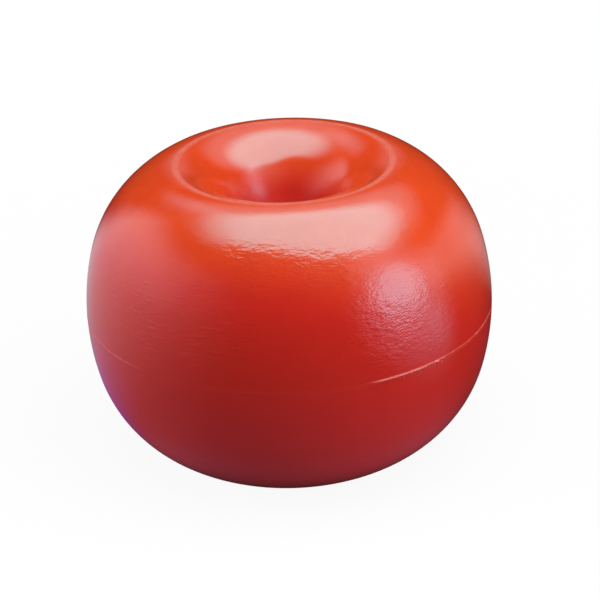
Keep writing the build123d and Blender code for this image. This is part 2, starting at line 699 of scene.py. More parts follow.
class TurnedTree:
    """Geometry Nodes that turn a closed section about +Z, with uneven detail in normal direction."""

    def __init__(self, name: str, sizes: Mapping[str, tuple[str, Any]]) -> None:
        """Start a tree with a geometry input and output and its named sizes.

        Args:
            name: Name of the tree.
            sizes: Socket type and value of each further input, by its name.
        """
        self.tree = bpy.data.node_groups.new(name, "GeometryNodeTree")
        interface = self.tree.interface
        interface.new_socket("Section", in_out="INPUT", socket_type="NodeSocketGeometry")
        interface.new_socket("Geometry", in_out="OUTPUT", socket_type="NodeSocketGeometry")
        self.values: dict[str, Any] = {}
        for title, (kind, value) in sizes.items():
            socket = interface.new_socket(title, in_out="INPUT", socket_type=kind)
            self.values[socket.identifier] = value
        self.graph = Graph(self.tree)
        self.entry = self.graph.node("NodeGroupInput", output="Section")

    def size(self, name: str) -> Signal:
        """A named input of the tree."""
        return self.entry.sibling(name)

    def grid(self) -> tuple[Signal, Signal, Signal]:
        """Lay out a grid of turns by section points.

        Returns:
            The grid, the turn of each point in radians from the front, and its place in the section.
        """
        graph = self.graph
        around = self.size("Steps Around")
        along = self.size("Section Points")
        grid = graph.node(
            "GeometryNodeMeshGrid",
            {},
            {"Size X": 1.0, "Size Y": 1.0, "Vertices X": around + 1, "Vertices Y": along + 1},
            "Mesh",
        )
        x, y, _ = graph.split(graph.node("GeometryNodeInputPosition"))
        row = graph.math("ROUND", (y + 0.5) * along) % along
        return grid, x * FULL_TURN, row

    def sampled(self, kind: str, field_: Signal, row: Signal) -> Signal:
        """Read a field of the section at a row of the grid.

        Args:
            kind: Data type of the field.
            field_: The field.
            row: Place in the section.

        Returns:
            The value at that row.
        """
        return self.graph.node(
            "GeometryNodeSampleIndex",
            {"data_type": kind, "domain": "POINT"},
            {"Geometry": self.entry, "Value": field_, "Index": row},
        )

    def weight(self, name: str) -> Signal:
        """A float attribute by its name."""
        settings = {"data_type": "FLOAT"}
        return self.graph.node("GeometryNodeInputNamedAttribute", settings, {"Name": name})

    def stored(self, geometry: Signal, name: str, value: Number) -> Signal:
        """Geometry with a float attribute stored on its points."""
        return self.graph.node(
            "GeometryNodeStoreNamedAttribute",
            {"data_type": "FLOAT", "domain": "POINT"},
            {"Geometry": geometry, "Name": name, "Value": value},
        )

    def moved(self, geometry: Signal, position: Signal) -> Signal:
        """Geometry with its points put at a position."""
        sockets = {"Geometry": geometry, "Position": position}
        return self.graph.node("GeometryNodeSetPosition", {}, sockets)

    def around_axis(self, radius: Number, turn: Signal, height: Number) -> Signal:
        """Place of a point about the axis.

        Args:
            radius: Distance from the axis.
            turn: Turn from the front, in radians.
            height: Its height.

        Returns:
            The point.
        """
        sine = self.graph.math("SINE", turn)
        cosine = self.graph.math("COSINE", turn)
        return self.graph.join(radius * sine, -(radius * cosine), height)

    def closed(self, geometry: Signal) -> Signal:
        """Geometry with the two ends of the turn and of the section joined."""
        return self.graph.node(
            "GeometryNodeMergeByDistance",
            {},
            {"Geometry": geometry, "Distance": MERGE_DISTANCE},
        )

    def joined(self, first: Signal, second: Signal) -> Signal:
        """Two geometries as one.

        Args:
            first: One geometry.
            second: The other.

        Returns:
            Both together.
        """
        whole = self.graph.node("GeometryNodeJoinGeometry", {}, {"Geometry": first})
        self.tree.links.new(second.socket, whole.socket.node.inputs[0])
        return whole

    def end(self, geometry: Signal) -> None:
        """Finish the tree with smooth shading, real instances and the material.

        Args:
            geometry: What the tree has made.
        """
        smooth = self.graph.node("GeometryNodeSetShadeSmooth", {}, {"Geometry": geometry})
        real = self.graph.node("GeometryNodeRealizeInstances", {}, {"Geometry": smooth})
        dressed = self.graph.node(
            "GeometryNodeSetMaterial",
            {},
            {"Geometry": real, "Material": self.size("Finish")},
        )
        self.graph.node("NodeGroupOutput", {}, {"Geometry": dressed})


@dataclass(frozen=True)
class SectionPoint:
    """Point of a section: radius, height over the parting plane, and its weights by name."""

    radius: float
    height: float
    weights: Mapping[str, float]


def section_object(name: str, points: Sequence[SectionPoint]) -> bpy.types.Object:
    """Make an object of loose section points for a turned tree to read.

    Args:
        name: Name of the object.
        points: The section, closed, going up on its outer side.

    Returns:
        The object, linked to the scene.
    """
    mesh = bpy.data.meshes.new(name)
    mesh.from_pydata([(point.radius, 0.0, point.height) for point in points], [], [])
    for weight in points[0].weights:
        layer = mesh.attributes.new(weight, "FLOAT", "POINT")
        layer.data.foreach_set("value", [point.weights[weight] for point in points])
    return linked(name, mesh)


def realised(carrier: bpy.types.Object, tree: TurnedTree, sharp_angle: float) -> bpy.types.Object:
    """Run a tree on its section and keep the result as a plain mesh.

    Args:
        carrier: Object that holds the section.
        tree: The tree, with the values of its inputs.
        sharp_angle: Edges that bend by more, in degrees, shade sharp.

    Returns:
        The same object with the finished mesh and no modifier.
    """
    modifier = carrier.modifiers.new("turned", "NODES")
    modifier.node_group = tree.tree
    for identifier, value in tree.values.items():
        modifier[identifier] = value
    depsgraph = bpy.context.evaluated_depsgraph_get()
    depsgraph.update()
    mesh = bpy.data.meshes.new_from_object(carrier.evaluated_get(depsgraph))
    carrier.modifiers.remove(modifier)
    section = carrier.data
    carrier.data = mesh
    bpy.data.meshes.remove(section)
    mesh.name = carrier.name
    mesh.set_sharp_from_angle(angle=math.radians(sharp_angle))
    return carrier


def fit_out(piece: bpy.types.Object, node: str) -> None:
    """Put a finished piece in place of its CAD node.

    Args:
        piece: The piece.
        node: CAD node that it stands for.
    """
    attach(piece, ROOT_BODY)
    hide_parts(node)
    LOG.info("%s: %d faces, stands for %s", piece.name, len(piece.data.polygons), node)


@dataclass(frozen=True)
class SectionSteps:
    """How many points each run of a shell's section has, outside and on the inner wall."""

    side: int = 26
    shoulder: int = 34
    crown: int = 16
    rim: int = 4
    edge: int = 4
    dish: int = 48
    throat: int = 20
    bore: int = 8
    throat_wall: int = 5
    dish_wall: int = 5
    crown_wall: int = 4
    shoulder_wall: int = 6
    side_wall: int = 3


@dataclass
class FloatShell:
    """One moulded half of the float, turned from the same section as its CAD node, in metres."""

    half: Half
    radius: float = 100.0 * MM
    half_height: float = 74.0 * MM
    rim_radius: float = 53.5 * MM
    rim_width: float = 2.0 * MM
    side_angle: float = 15.0
    shoulder_angle: float = 60.0
    crown_angle: float = 83.0
    shoulder_ratio: float = 1.4
    dish_slope: float = 14.0
    dish_edge_radius: float = 3.0 * MM
    throat_radius: float = 30.0 * MM
    throat_slope: float = 52.0
    bore_radius: float = 17.0 * MM
    wall: float = 3.5 * MM
    land_width: float = 7.0 * MM
    land_height: float = 5.0 * MM
    groove_depth: float = 1.2 * MM
    groove_half_width: float = 0.8 * MM
    steps_around: int = 440
    steps: SectionSteps = field(default_factory=SectionSteps)
    sharp_angle: float = 32.0
    wave_height: float = 0.16 * MM
    wave_cells: float = 26.0
    wave_octaves: float = 3.0
    weld_clear: float = 14.0 * MM
    rim_clear: float = 4.0 * MM
    rub_reach: Band = (1.0 * MM, 2.2 * MM)
    sky_reach: Band = (10.0 * MM, 28.0 * MM)
    dull_reach: Band = (13.0 * MM, 20.0 * MM)
    seed: float = 11.0

    def __post_init__(self) -> None:
        """Work out the arcs of the section, as the CAD source does."""
        side = math.radians(self.side_angle)
        shoulder = math.radians(self.shoulder_angle)
        reach = self.radius - self.rim_radius
        self.shoulder_arc = self.shoulder_ratio * reach
        reach_left = reach - self.shoulder_arc * (math.cos(side) - math.cos(shoulder))
        height_left = self.half_height - self.shoulder_arc * (math.sin(shoulder) - math.sin(side))
        crown = math.radians(self.crown_angle)
        depth = math.cos(shoulder) - math.cos(crown)
        rise = math.sin(crown) - math.sin(shoulder)
        factor = depth * math.sin(side) - (1 - math.cos(side)) * rise
        self.side_arc = (depth * height_left - rise * reach_left) / factor
        self.crown_arc = (math.sin(side) * reach_left - (1 - math.cos(side)) * height_left) / factor
        self.side_centre = (self.radius - self.side_arc, 0.0)
        step = self.side_arc - self.shoulder_arc
        self.shoulder_centre = (self.side_centre[0] + step * math.cos(side), step * math.sin(side))
        self.crown_centre = (
            self.rim_radius - self.crown_arc * math.cos(crown),
            self.half_height - self.crown_arc * math.sin(crown),
        )
        self.dish_edge = self.rim_radius - self.rim_width
        dish = math.radians(self.dish_slope)
        throat = math.radians(self.throat_slope)
        self.dish_arc = (self.dish_edge - self.throat_radius) / (math.sin(throat) - math.sin(dish))
        self.throat_arc = (self.throat_radius - self.bore_radius) / (1 - math.sin(throat))
        self.dish_centre = (
            self.dish_edge + self.dish_arc * math.sin(dish),
            self.half_height - self.dish_arc * math.cos(dish),
        )
        self.bore_top = self.dish_centre[1] + (self.dish_arc - self.throat_arc) * math.cos(throat)
        self.throat_centre = (self.bore_radius + self.throat_arc, self.bore_top)

    @staticmethod
    def arc(centre: Point, radius: float, start: float, end: float, count: int) -> list[Point]:
        """Points of an arc, without its last one.

        Args:
            centre: Its centre.
            radius: Its radius.
            start: Angle of its first point, in degrees.
            end: Angle where it ends.
            count: How many points.

        Returns:
            The points.
        """
        turns = [math.radians(start + (end - start) * step / count) for step in range(count)]
        x, y = centre
        return [(x + radius * math.cos(turn), y + radius * math.sin(turn)) for turn in turns]

    @staticmethod
    def line(start: Point, end: Point, count: int) -> list[Point]:
        """Points of a straight run, without its last one.

        Args:
            start: Its first point.
            end: Where it ends.
            count: How many points.

        Returns:
            The points.
        """
        x, y = start
        run, rise = end[0] - x, end[1] - y
        return [(x + run * (step / count), y + rise * (step / count)) for step in range(count)]

    def edge_arc(self) -> tuple[Point, float]:
        """Rounding between the rim and the dish.

        Returns:
            Its centre, and the angle in degrees where it runs into the dish.
        """
        low = self.half_height - self.dish_edge_radius
        gap = self.dish_arc - self.dish_edge_radius
        rise = low - self.dish_centre[1]
        centre = (self.dish_centre[0] - math.sqrt(gap**2 - rise**2), low)
        run = centre[0] - self.dish_centre[0]
        return centre, math.degrees(math.atan2(rise, run))

    def skin_points(self) -> list[Point]:
        """Outside of the upper half from the seam's lip over the rim and down to the bore's lip.

        Returns:
            The points in order.
        """
        steps = self.steps
        side, shoulder = self.side_angle, self.shoulder_angle
        throat_turn = STRAIGHT_UP + self.throat_slope
        seam_lip = math.degrees(math.asin(self.groove_half_width / self.side_arc))
        bore_lip = (self.bore_radius, self.groove_half_width)
        edge, dish_turn = self.edge_arc()
        outside = self.arc(self.side_centre, self.side_arc, seam_lip, side, steps.side)
        outside += self.arc(self.shoulder_centre, self.shoulder_arc, side, shoulder, steps.shoulder)
        outside += self.arc(self.crown_centre, self.crown_arc, shoulder, self.crown_angle, steps.crown)
        rim_end = (edge[0], self.half_height)
        outside += self.line((self.rim_radius, self.half_height), rim_end, steps.rim)
        outside += self.arc(edge, self.dish_edge_radius, STRAIGHT_UP, dish_turn, steps.edge)
        outside += self.arc(self.dish_centre, self.dish_arc, dish_turn, throat_turn, steps.dish)
        outside += self.arc(self.throat_centre, self.throat_arc, throat_turn, INWARD, steps.throat)
        outside += self.line((self.bore_radius, self.bore_top), bore_lip, steps.bore)
        return outside + [bore_lip]

    def inner_points(self) -> list[Point]:
        """Welded lands and the inside wall, from the bore's lip back to the seam's lip.

        Returns:
            The points in order.
        """
        steps = self.steps
        side, shoulder = self.side_angle, self.shoulder_angle
        throat_turn = STRAIGHT_UP + self.throat_slope
        taper = self.land_height + self.land_width - self.wall
        ceiling = self.half_height - self.wall
        side_wall = self.side_arc - self.wall
        shoulder_wall = self.shoulder_arc - self.wall
        crown_wall = self.crown_arc - self.wall
        dish_wall = self.dish_arc - self.wall
        throat_wall = self.throat_arc - self.wall
        dish_end = INWARD - math.degrees(math.asin((ceiling - self.dish_centre[1]) / dish_wall))
        side_end = math.degrees(math.asin(taper / side_wall))
        bore_land = self.bore_radius + self.land_width
        seam_land = self.radius - self.land_width
        inner = [
            (self.bore_radius + self.groove_depth, 0.0),
            (bore_land, 0.0),
            (bore_land, self.land_height),
            (self.bore_radius + self.wall, taper),
        ]
        inner += self.arc(self.throat_centre, throat_wall, INWARD, throat_turn, steps.throat_wall)
        inner += self.arc(self.dish_centre, dish_wall, throat_turn, dish_end, steps.dish_wall)
        inner += self.arc(self.crown_centre, crown_wall, self.crown_angle, shoulder, steps.crown_wall)
        inner += self.arc(self.shoulder_centre, shoulder_wall, shoulder, side, steps.shoulder_wall)
        inner += self.arc(self.side_centre, side_wall, side, side_end, steps.side_wall)
        inner += [
            (seam_land, self.land_height),
            (seam_land, 0.0),
            (self.radius - self.groove_depth, 0.0),
        ]
        return inner

    @staticmethod
    def ease(value: float, low: float, high: float) -> float:
        """Smooth step of a number from zero at the low value to one at the high value."""
        share = min(1.0, max(0.0, (value - low) / (high - low)))
        return share * share * (3 - 2 * share)

    def weights(self, point: Point) -> dict[str, float]:
        """Weights of a point of the skin.

        Args:
            point: Radius and height of the upper half.

        Returns:
            Share of the mould's waviness, none at the welds and on the rim; share of handling wear
            with painted sheen, all on the rim; share of the dish that lies open to the sky, none in the
            bore and outside, which also takes painted light; and share of the dulled throat.
        """
        radius, height = point
        below = self.half_height - height
        from_weld = min(1.0, max(0.0, (height - self.groove_half_width) / self.weld_clear))
        from_rim = math.hypot(radius - (self.rim_radius - self.rim_width / 2), below)
        inside = radius < self.dish_edge
        return {
            "skin": from_weld * self.ease(below, 0.0, self.rim_clear),
            "rim": 1.0 - self.ease(from_rim, *self.rub_reach),
            "sky": 1.0 - self.ease(below, *self.sky_reach) if inside else 0.0,
            "throat": self.ease(below, *self.dull_reach) if inside else 0.0,
        }

    def section(self) -> list[SectionPoint]:
        """Closed section of this half, going up on its outer side.

        Returns:
            The points, with heights counted from the parting plane.
        """
        skin = [SectionPoint(*point, self.weights(point)) for point in self.skin_points()]
        plain = {name: 0.0 for name in skin[0].weights}
        whole = skin + [SectionPoint(*point, plain) for point in self.inner_points()]
        if self.half is Half.UPPER:
            return whole
        return [
            SectionPoint(point.radius, -point.height, {**point.weights, "sky": 0.0})
            for point in reversed(whole)
        ]

    def tree(self, points: int, finish: bpy.types.Material) -> TurnedTree:
        """Geometry Nodes of the moulding.

        Args:
            points: Points in the section.
            finish: Its material.

        Returns:
            The tree.
        """
        sizes = {
            "Steps Around": ("NodeSocketInt", self.steps_around),
            "Section Points": ("NodeSocketInt", points),
            "Parting Height": ("NodeSocketFloat", self.half_height),
            "Wave Height": ("NodeSocketFloat", self.wave_height),
            "Wave Cells": ("NodeSocketFloat", self.wave_cells),
            "Seed": ("NodeSocketFloat", self.seed + self.half.value),
            "Finish": ("NodeSocketMaterial", finish),
        }
        turned = TurnedTree(f"{self.half.node}_moulding", sizes)
        graph = turned.graph
        grid, turn, row = turned.grid()
        radius, _, height = graph.split(
            turned.sampled("FLOAT_VECTOR", graph.node("GeometryNodeInputPosition"), row)
        )
        for name in ("skin", "rim", "sky", "throat"):
            grid = turned.stored(grid, name, turned.sampled("FLOAT", turned.weight(name), row))
        level = height + turned.size("Parting Height")
        shell = turned.closed(turned.moved(grid, turned.around_axis(radius, turn, level)))
        wave = graph.node(
            "ShaderNodeTexNoise",
            {"noise_dimensions": "4D"},
            {
                "Vector": graph.node("GeometryNodeInputPosition"),
                "W": turned.size("Seed"),
                "Scale": turned.size("Wave Cells"),
                "Detail": self.wave_octaves,
            },
        )
        depth = (wave - 0.5) * turned.size("Wave Height") * turned.weight("skin")
        offset = graph.node(
            "ShaderNodeVectorMath",
            {"operation": "SCALE"},
            {"Vector": graph.node("GeometryNodeInputNormal"), "Scale": depth},
            "Vector",
        )
        shell = graph.node("GeometryNodeSetPosition", {}, {"Geometry": shell, "Offset": offset})
        # how far each point faces up, which the material reads for its painted light
        upright = graph.split(graph.node("GeometryNodeInputNormal"))[2]
        turned.end(turned.stored(shell, "upness", upright))
        return turned

    def build(self, finish: bpy.types.Material) -> bpy.types.Object:
        """Mould the half and put it in place of its CAD node.

        Args:
            finish: Its material.

        Returns:
            The finished piece.
        """
        section = self.section()
        carrier = section_object(f"{self.half.node}_skin", section)
        piece = realised(carrier, self.tree(len(section), finish), self.sharp_angle)
        fit_out(piece, self.half.node)
        return piece


@dataclass(frozen=True)
class FlashSpan:
    """Stretch of the seam where the weld's flash was left standing, in degrees from the front."""

    start: float
    end: float
    rise: float
    ease: float = 4.0


@dataclass
class SeamBead:
    """Hand-trimmed weld bead round the waist, with the flash and crumbs that the trimming left."""

    radius: float = 100.0 * MM
    side_arc: float = 114.7 * MM
    parting_height: float = 74.0 * MM
    groove_depth: float = 1.2 * MM
    groove_half_width: float = 0.8 * MM
    crown_rise: float = 0.4 * MM
    steps_around: int = 1800
    crown_points: int = 14
    sharp_angle: float = 60.0
    flush_rise: float = -0.41 * MM
    full_rise: float = 0.50 * MM
    ragged_rise: float = 0.45 * MM
    ragged_cells: float = 420.0
    slow_rise: float = 0.05 * MM
    slow_cells: float = 34.0
    slow_band: Band = (0.36, 0.66)
    wander: float = 0.30 * MM
    wander_cells: float = 60.0
    standing_band: Band = (0.12, 1.0)
    spans: tuple[FlashSpan, ...] = (
        FlashSpan(22.0, 43.5, 0.50 * MM),
        FlashSpan(43.0, 78.0, 0.21 * MM),
        FlashSpan(-82.0, -46.0, 0.19 * MM, 7.0),
        FlashSpan(42.3, 43.6, 0.55 * MM, 0.5),
        FlashSpan(118.0, 171.0, 0.34 * MM, 6.0),
        FlashSpan(-150.0, -112.0, 0.24 * MM, 6.0),
    )
    crumbs: int = 18
    crumb_turn: Band = (math.radians(27.0), math.radians(45.0))
    crumb_drop: Band = (0.9 * MM, 2.2 * MM)
    crumb_sink: float = 0.05 * MM
    crumb_size: float = 0.24 * MM
    crumb_length: Band = (0.5, 1.6)
    crumb_width: Band = (0.5, 1.2)
    crumb_thickness: Band = (0.4, 0.9)
    crumb_facets: int = 2
    seed: int = 7

    def section(self) -> list[SectionPoint]:
        """Closed section of the bead: its rounded crown and the root of the groove.

        Returns:
            The points, with heights counted from the parting plane.
        """
        half = self.groove_half_width
        lip = self.radius - self.side_arc + math.sqrt(self.side_arc**2 - half**2)
        crown = []
        for step in range(self.crown_points + 1):
            level = -1 + 2 * step / self.crown_points
            swell = 1 - level**2
            reach = lip + (self.radius + self.crown_rise - lip) * swell
            crown.append(SectionPoint(reach, level * half, {"lift": swell, "ridge": swell**3}))
        root = SectionPoint(self.radius - self.groove_depth, 0.0, {"lift": 0.0, "ridge": 0.0})
        return crown + [root]

    def rise(self, turned: TurnedTree, turn: Signal) -> Signal:
        """Height of the bead's ridge over its flush shape, along the seam.

        Args:
            turned: The tree.
            turn: Turn from the front, in radians.

        Returns:
            Height in metres.
        """
        graph = turned.graph
        ring = turned.around_axis(self.radius, turn, 0.0)
        ragged = graph.noise(ring, self.ragged_cells, Pattern.RAGGED_EDGE)
        slow = graph.noise(ring, self.slow_cells, Pattern.SLOW_RISE).rise(*self.slow_band)
        standing = self.slow_rise * slow
        for span in self.spans:
            ends = (math.radians(span.start), math.radians(span.end))
            ease = math.radians(span.ease)
            window = turn.between(ends, (ease, ease))
            standing = standing + window * (span.rise + (ragged - 0.5) * turned.size("Ragged Rise"))
        return standing

    def crumb_points(self, turned: TurnedTree) -> Signal:
        """Crumbs of trimmed plastic that stick to the skin just under the flash.

        Args:
            turned: The tree.

        Returns:
            The instances.
        """
        graph = turned.graph

        def chance(band: Band, draw: CrumbDraw) -> Signal:
            """A fixed random number for each crumb."""
            return graph.node(
                "FunctionNodeRandomValue",
                {"data_type": "FLOAT"},
                {"Min": band[0], "Max": band[1], "Seed": self.seed + draw.value},
            )

        turn = chance(self.crumb_turn, CrumbDraw.TURN)
        drop = chance(self.crumb_drop, CrumbDraw.DROP)
        skin = self.radius - self.crumb_sink - drop * drop / (2 * self.side_arc)
        points = graph.node(
            "GeometryNodePoints",
            {},
            {
                "Count": turned.size("Crumbs"),
                "Position": turned.around_axis(skin, turn, turned.size("Parting Height") - drop),
            },
        )
        flake = graph.node(
            "GeometryNodeMeshIcoSphere",
            {},
            {"Radius": turned.size("Crumb Size"), "Subdivisions": self.crumb_facets},
            "Mesh",
        )
        flake = turned.stored(flake, "standing", 1.0)
        scale = graph.join(
            chance(self.crumb_length, CrumbDraw.LENGTH),
            chance(self.crumb_width, CrumbDraw.WIDTH),
            chance(self.crumb_thickness, CrumbDraw.THICKNESS),
        )
        spin = graph.join(0.0, 0.0, turn)
        return graph.node(
            "GeometryNodeInstanceOnPoints",
            {},
            {"Points": points, "Instance": flake, "Scale": scale, "Rotation": spin},
        )

    def tree(self, points: int, finish: bpy.types.Material) -> TurnedTree:
        """Geometry Nodes of the bead.

        Args:
            points: Points in the section.
            finish: Its material.

        Returns:
            The tree.
        """
        sizes = {
            "Steps Around": ("NodeSocketInt", self.steps_around),
            "Section Points": ("NodeSocketInt", points),
            "Parting Height": ("NodeSocketFloat", self.parting_height),
            "Ragged Rise": ("NodeSocketFloat", self.ragged_rise),
            "Crumbs": ("NodeSocketInt", self.crumbs),
            "Crumb Size": ("NodeSocketFloat", self.crumb_size),
            "Finish": ("NodeSocketMaterial", finish),
        }
        turned = TurnedTree("seam_bead_trim", sizes)
        graph = turned.graph
        grid, turn, row = turned.grid()
        place = turned.sampled("FLOAT_VECTOR", graph.node("GeometryNodeInputPosition"), row)
        lift = turned.sampled("FLOAT", turned.weight("lift"), row)
        ridge = turned.sampled("FLOAT", turned.weight("ridge"), row)
        radius, _, height = graph.split(place)
        ring = turned.around_axis(self.radius, turn, 0.0)
        sway = (graph.noise(ring, self.wander_cells, Pattern.SEAM_SWAY) - 0.5) * (2 * self.wander)
        rise = self.rise(turned, turn)
        share = ridge * (rise / self.full_rise).rise(*self.standing_band)
        bead = turned.moved(
            turned.stored(grid, "standing", share),
            turned.around_axis(
                radius + lift * self.flush_rise + ridge * rise,
                turn,
                height + lift * sway + turned.size("Parting Height"),
            ),
        )
        turned.end(turned.joined(turned.closed(bead), self.crumb_points(turned)))
        return turned

    def build(self, finish: bpy.types.Material) -> bpy.types.Object:
        """Lay the bead and put it in place of its CAD node.

        Args:
            finish: Its material.

        Returns:
            The finished piece.
        """
        section = self.section()
        carrier = section_object("seam_weld_bead_trim", section)
        piece = realised(carrier, self.tree(len(section), finish), self.sharp_angle)
        fit_out(piece, "seam_weld_bead")
        return piece


@dataclass
class BoreBead:
    """Flush weld ring in the bore: the CAD node itself, in the finish of the weld."""

    node: str = "bore_weld_bead"

    def dress(self, finish: bpy.types.Material) -> None:
        """Give the node its finish.

        Args:
            finish: Its material.
        """
        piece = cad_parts[self.node]
        for slot in piece.material_slots:
            slot.material = finish
        LOG.info("%s: CAD node kept, dressed in %s", self.node, finish.name)


@dataclass(frozen=True)
class Softbox:
    """Soft-edged patch of the studio that the gloss shows, with its angles in degrees."""

    bearings: Band
    bearing_eases: Band
    elevations: Band
    elevation_eases: Band
    light: Colour
    lean: float = 0.0
    sag: float = 0.0

    def window(self, bearing: Signal, elevation: Signal) -> Signal:
        """Share of this patch in a direction.

        Args:
            bearing: Degrees from the front, to the right.
            elevation: Degrees over the horizon.

        Returns:
            Weight from zero to one.
        """
        left, right = self.bearings
        left_ease, right_ease = self.bearing_eases
        past_left = bearing - left
        level = elevation + self.sag * past_left * past_left
        inside = (past_left - self.lean * elevation).rise(-left_ease, left_ease)
        inside = inside * bearing.fall(right - right_ease, right + right_ease)
        return inside * level.between(self.elevations, self.elevation_eases)


@dataclass(frozen=True)
class RoundBox:
    """Round soft patch about a bearing and an elevation in degrees."""

    bearing: float
    elevation: float
    inner: float
    outer: float
    light: Colour

    def window(self, bearing: Signal, elevation: Signal) -> Signal:
        """Share of this patch in a direction.

        Args:
            bearing: Degrees from the front, to the right.
            elevation: Degrees over the horizon.

        Returns:
            Weight from zero to one.
        """
        reach = bearing.graph.reach(bearing - self.bearing, elevation - self.elevation)
        return reach.fall(self.inner, self.outer)


def glossy_only(stage: bpy.types.Object) -> None:
    """Show a part of the stage to gloss alone.

    Args:
        stage: The part.
    """
    stage.visible_camera = False
    stage.visible_diffuse = False
    stage.visible_transmission = False
    stage.visible_volume_scatter = False
    stage.visible_shadow = False


@dataclass(frozen=True)
class TopBox:
    """Overhead softbox that the gloss shows, with its sizes in shares of its height over the crown."""

    crown_height: float = 0.145
    height: float = 0.60
    side: float = 2.6
    centre: Point = (0.26, -0.06)
    half_size: Point = (0.85, 0.55)
    flare: float = 0.20
    least_flare: float = 0.2
    front_band: Band = (-0.8, -0.1)
    back_power: float = 3.0
    front_power: float = 1.45
    inner: float = 0.62
    outer: float = 1.36
    front_inner: float = 0.86
    front_outer: float = 1.10
    light: Colour = (0.2, 6.5, 7.0)
    spill_centre: Point = (0.37, 0.20)
    spill_size: Point = (1.05, 0.88)
    spill_light: Colour = (0.3, 1.5, 1.65)

    def build(self) -> None:
        """Hang the box over the float, seen by gloss alone."""
        level = self.crown_height + self.height
        glossy_only(flat_panel("studio_top_box", self.side, level, self.material()))

    def material(self) -> bpy.types.Material:
        """Paint the box and the light that spills round it, clear elsewhere.

        Returns:
            The material.
        """
        material, graph = new_material("studio_top_light")
        material.cycles.emission_sampling = "NONE"
        scale = 1 / self.height
        x, y, _ = graph.split(graph.stretch(object_coordinates(graph), (scale, scale, 0.0)))
        spill = self.window(x, y, self.spill_centre, self.spill_size)
        light = graph.blend(spill, BLACK, self.spill_light)
        light = graph.blend(self.window(x, y, self.centre, self.half_size), light, self.light, "ADD")
        glow = graph.node("ShaderNodeEmission", {}, {"Color": light, "Strength": 1.0})
        clear = graph.node("ShaderNodeBsdfTransparent", {}, {"Color": (*WHITE, 1.0)})
        end_material(graph.node("ShaderNodeAddShader", {}, {0: glow, 1: clear}))
        return material

    def window(self, x: Signal, y: Signal, centre: Point, size: Point) -> Signal:
        """Soft-edged shape, square-cornered at the back and cut off at the front corners.

        Args:
            x: Place along +X.
            y: Place along +Y.
            centre: Middle of the shape.
            size: Half width and half depth.

        Returns:
            Weight from zero to one.
        """
        graph = x.graph
        across = x - centre[0]
        flare = graph.math("MAXIMUM", 1.0 + self.flare * across, self.least_flare)
        back = (y - centre[1]) / (size[1] * flare)
        front = back.fall(*self.front_band)
        power = self.back_power + (self.front_power - self.back_power) * front
        wide = graph.math("POWER", abs(across) / size[0], power)
        reach = graph.math("POWER", wide + graph.math("POWER", abs(back), power), 1.0 / power)
        inner = self.inner + (self.front_inner - self.inner) * front
        outer = self.outer + (self.front_outer - self.outer) * front
        return ((outer - reach) / (outer - inner)).rise(0.0, 1.0)


@dataclass
class StudioDome:
    """Surroundings that only the gloss of the float sees: softboxes against a dim, cool room."""

    centre_height: float = 0.074
    radius: float = 3.0
    bottom: float = 0.0008
    facets: int = 5
    boxes: tuple[Union[Softbox, RoundBox], ...] = (
        Softbox((-144.0, -66.0), (7.0, 46.0), (-9.0, 39.0), (33.0, 9.0), (1.5, 1.6, 1.8), lean=0.5),
        RoundBox(-145.0, 48.0, 5.0, 20.0, (0.1, 1.0, 1.25)),
        RoundBox(66.0, 16.5, 10.0, 22.5, (0.9, 4.2, 5.4)),
        RoundBox(67.0, 14.0, 16.0, 39.0, (0.6, 1.4, 1.9)),
        Softbox((46.0, 80.0), (10.0, 12.0), (33.0, 58.0), (10.0, 8.0), (0.45, 0.95, 1.2)),
        RoundBox(78.0, -5.0, 4.0, 14.0, (0.05, 0.6, 0.75)),
        Softbox((-125.0, -80.0), (12.0, 14.0), (-50.0, -20.0), (14.0, 10.0), (0.08, 0.02, 0.26)),
        Softbox((88.0, 140.0), (8.0, 14.0), (0.5, 24.0), (9.0, 6.0), (0.85, 0.95, 1.0), sag=0.006),
    )
    room: Colour = (0.03, 0.015, 0.015)
    below: Colour = (0.50, 0.14, 0.24)
    below_elevations: Band = (-34.0, -8.0)
    below_bearings: Band = (45.0, 95.0)
    below_behind: float = 0.12
    below_reach: Band = (0.060, 0.098)
    backdrop: Colour = (0.45, 0.40, 0.46)
    backdrop_bearings: Band = (160.0, 172.0)
    backdrop_foot: Band = (10.0, 20.0)
    backdrop_top: Band = (29.0, 36.0)

    def build(self) -> None:
        """Make the dome with its flat bottom, seen by gloss alone."""
        shape = bmesh.new()
        bmesh.ops.create_icosphere(shape, subdivisions=self.facets, radius=self.radius)
        for vertex in shape.verts:
            vertex.co.z = max(vertex.co.z, self.bottom)
        mesh = bpy.data.meshes.new("studio_dome")
        shape.to_mesh(mesh)
        shape.free()
        mesh.materials.append(self.material())
        glossy_only(linked("studio_dome", mesh))

    def material(self) -> bpy.types.Material:
        """Paint the softboxes and the room by direction.

        Returns:
            The material.
        """
        material, graph = new_material("studio_surroundings")
        material.cycles.emission_sampling = "NONE"
        away = graph.vector("SUBTRACT", object_coordinates(graph), (0.0, 0.0, self.centre_height))
        x, y, z = graph.split(graph.vector("NORMALIZE", away))
        bearing = graph.bearing(x, y)
        elevation = graph.math("ARCSINE", z) * DEGREES
        out = graph.vector("LENGTH", graph.stretch(away, (1.0, 1.0, 0.0)), output="Value")
        low = elevation.fall(*self.below_elevations)
        low = low * abs(bearing).rise(*self.below_bearings, 1.0, self.below_behind)
        low = low * out.rise(*self.below_reach)
        light = graph.blend(low, self.room, self.below)
        level = elevation.rise(*self.backdrop_foot) * elevation.fall(*self.backdrop_top)
        light = graph.blend(abs(bearing).rise(*self.backdrop_bearings) * level, light, self.backdrop)
        for box in self.boxes:
            light = graph.blend(box.window(bearing, elevation), light, box.light, "ADD")
        end_material(graph.node("ShaderNodeEmission", {}, {"Color": light, "Strength": 1.0}))
        return material


